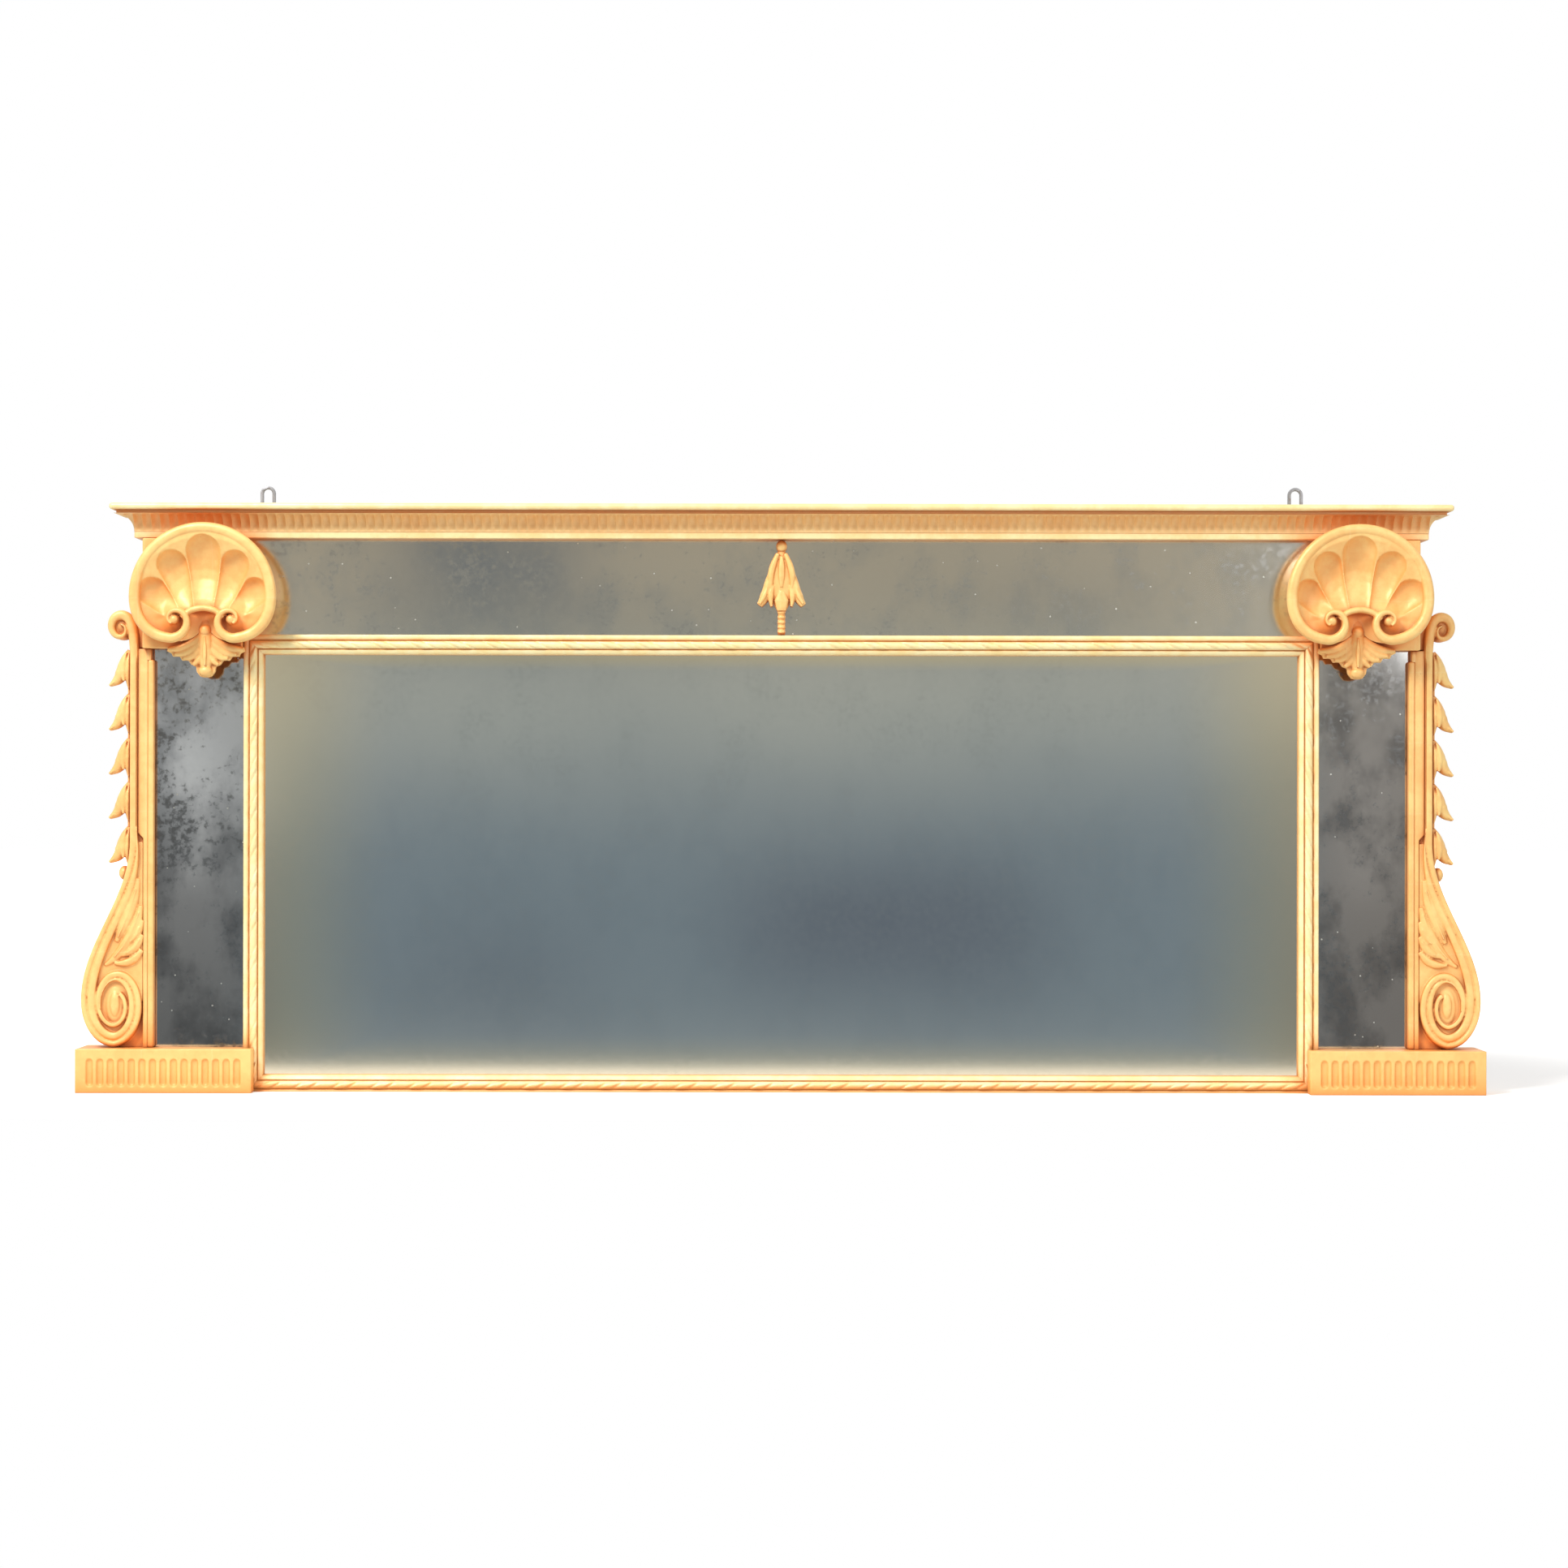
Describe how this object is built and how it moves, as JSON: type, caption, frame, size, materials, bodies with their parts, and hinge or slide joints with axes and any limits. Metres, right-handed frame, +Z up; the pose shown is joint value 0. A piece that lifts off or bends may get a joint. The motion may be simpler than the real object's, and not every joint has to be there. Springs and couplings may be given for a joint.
{
  "type": "overmantel mirror",
  "caption": "Wide giltwood overmantel mirror with a fluted cornice, a carved shell at each upper corner, side consoles with hanging husks, fluted plinths and old silvered plates.",
  "frame": {"origin": "middle of the mirror's bounding box at the level of its base", "axes": "+Z up, +X to the viewer's right along the cornice, the mirror faces -Y and its back plane is at +Y"},
  "size_m": [1.554, 0.084, 0.6745],
  "materials": {
    "pine": "aged bare pine, darkened with dust",
    "backboard_pine": "rough sawn pine boards with knots, browned with age",
    "gilt_moulding": "gold leaf on gesso and red bole over pine, rubbed on the high edges",
    "gilt_cornice": "pale burnished gold leaf over pine",
    "gilt_cove": "deep matt gold leaf with dust in the flutes",
    "gilt_carving": "gold leaf over carved pine and gesso, darker in the hollows",
    "gilt_plinth": "warm gold leaf over pine, soft rubbed edges",
    "mirror_glass": "old silvered plate with a faint grey tint",
    "antique_glass": "foxed and mottled old silvering, dark grey",
    "steel": "dull grey steel with light rust"
  },
  "bodies": {
    "root": {"stile_left": "pine", "stile_right": "pine", "bottom_rail": "pine", "frieze_rail": "pine", "top_rail": "pine", "muntin_left": "pine", "muntin_right": "pine", "side_rail_left": "pine", "side_rail_right": "pine", "corner_ground_left": "pine", "corner_ground_right": "pine", "dowels": "pine", "plate_blocks_main": "pine", "plate_blocks_side_left": "pine", "plate_blocks_side_right": "pine", "plate_blocks_frieze": "pine", "backboard_bottom": "backboard_pine", "backboard_lower": "backboard_pine", "backboard_upper": "backboard_pine", "backboard_frieze": "backboard_pine", "frame_moulding_top": "gilt_moulding", "frame_moulding_bottom": "gilt_moulding", "frame_moulding_left": "gilt_moulding", "frame_moulding_right": "gilt_moulding", "stile_moulding_left": "gilt_moulding", "stile_moulding_right": "gilt_moulding", "corner_block_left": "gilt_moulding", "corner_block_right": "gilt_moulding", "cornice_board": "gilt_cornice", "cornice_fillet_front": "gilt_cornice", "cornice_fillet_left": "gilt_cornice", "cornice_fillet_right": "gilt_cornice", "cornice_cove_front": "gilt_cove", "cornice_cove_left": "gilt_cove", "cornice_cove_right": "gilt_cove", "shell_left": "gilt_carving", "shell_right": "gilt_carving", "shell_pendant_left": "gilt_carving", "shell_pendant_right": "gilt_carving", "console_left": "gilt_carving", "console_right": "gilt_carving", "husks_left": "gilt_carving", "husks_right": "gilt_carving", "leaf_drop": "gilt_carving", "plinth_left": "gilt_plinth", "plinth_right": "gilt_plinth", "mirror_plate_main": "mirror_glass", "mirror_plate_side_left": "antique_glass", "mirror_plate_side_right": "antique_glass", "mirror_plate_frieze_left": "antique_glass", "mirror_plate_frieze_right": "antique_glass", "hanger_left": "steel", "hanger_right": "steel", "hanger_screws": "steel", "backboard_screws": "steel"}
  },
  "joints": []
}
